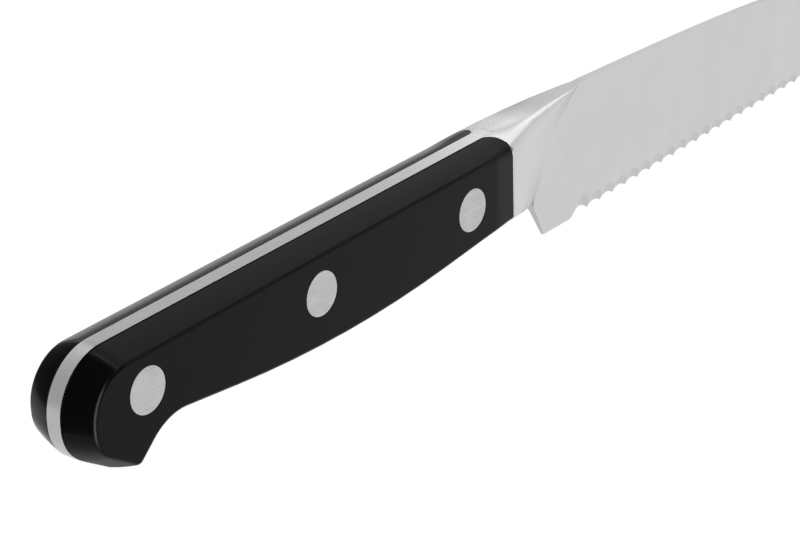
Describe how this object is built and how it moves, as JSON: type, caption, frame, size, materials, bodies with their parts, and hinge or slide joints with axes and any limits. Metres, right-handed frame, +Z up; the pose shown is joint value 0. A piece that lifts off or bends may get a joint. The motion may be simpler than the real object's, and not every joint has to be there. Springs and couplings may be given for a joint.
{
  "type": "bagel knife",
  "caption": "Serrated bagel knife: a forged blade with bolster and full tang between two black moulded scales held by flush rivets, for slicing bread rolls and bagels.",
  "frame": {"origin": "centre of the knife's box in length and width, at the height of its lowest point under the heel", "axes": "+X along the knife to the tip, +Y from the serrated right face to the left face, +Z up to the spine"},
  "size_m": [0.2434, 0.012, 0.0238],
  "materials": {
    "blade_steel": "fine satin ground",
    "scale_polymer": "satin black, ground flush with the tang",
    "rivet_steel": "satin, ground flush with the scale"
  },
  "bodies": {
    "root": {"blade_forging": "blade_steel", "right_scale": "scale_polymer", "left_scale": "scale_polymer", "front_rivet_tube": "rivet_steel", "front_rivet_stud": "rivet_steel", "middle_rivet_tube": "rivet_steel", "middle_rivet_stud": "rivet_steel", "rear_rivet_tube": "rivet_steel", "rear_rivet_stud": "rivet_steel"}
  },
  "joints": []
}
